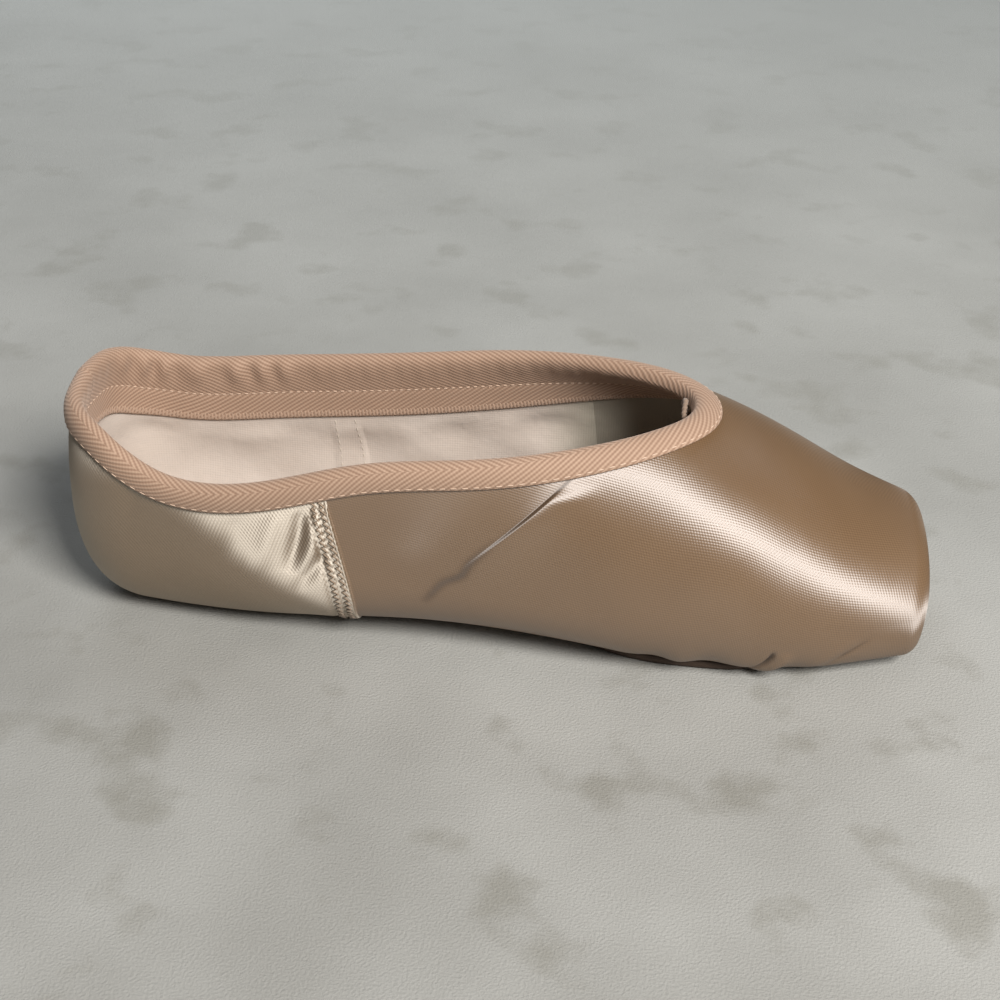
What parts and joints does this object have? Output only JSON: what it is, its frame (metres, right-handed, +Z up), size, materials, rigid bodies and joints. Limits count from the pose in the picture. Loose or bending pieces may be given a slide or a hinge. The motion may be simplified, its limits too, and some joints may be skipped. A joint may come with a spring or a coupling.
{
  "type": "pointe shoe",
  "caption": "Satin ballet pointe shoe, empty and standing: hollow upper with a stiff toe box and flat platform, taped collar with a drawstring loop, thin leather sole.",
  "frame": {"origin": "on the floor under the middle of the shoe's length and width", "axes": "+X from the heel to the toe, +Y to the left of the shoe's own way forward, +Z up"},
  "size_m": [0.226, 0.0778, 0.0645],
  "materials": {
    "satin": "satin weave with a strong sheen",
    "tape": "herringbone cotton tape, matt",
    "sole_leather": "dark brown sueded leather",
    "sock": "plain cotton",
    "cord": "braided cotton cord"
  },
  "bodies": {
    "root": {"upper": "satin", "collar_binding": "tape", "outsole": "sole_leather", "insole": "sock", "drawstring": "cord"}
  },
  "joints": []
}
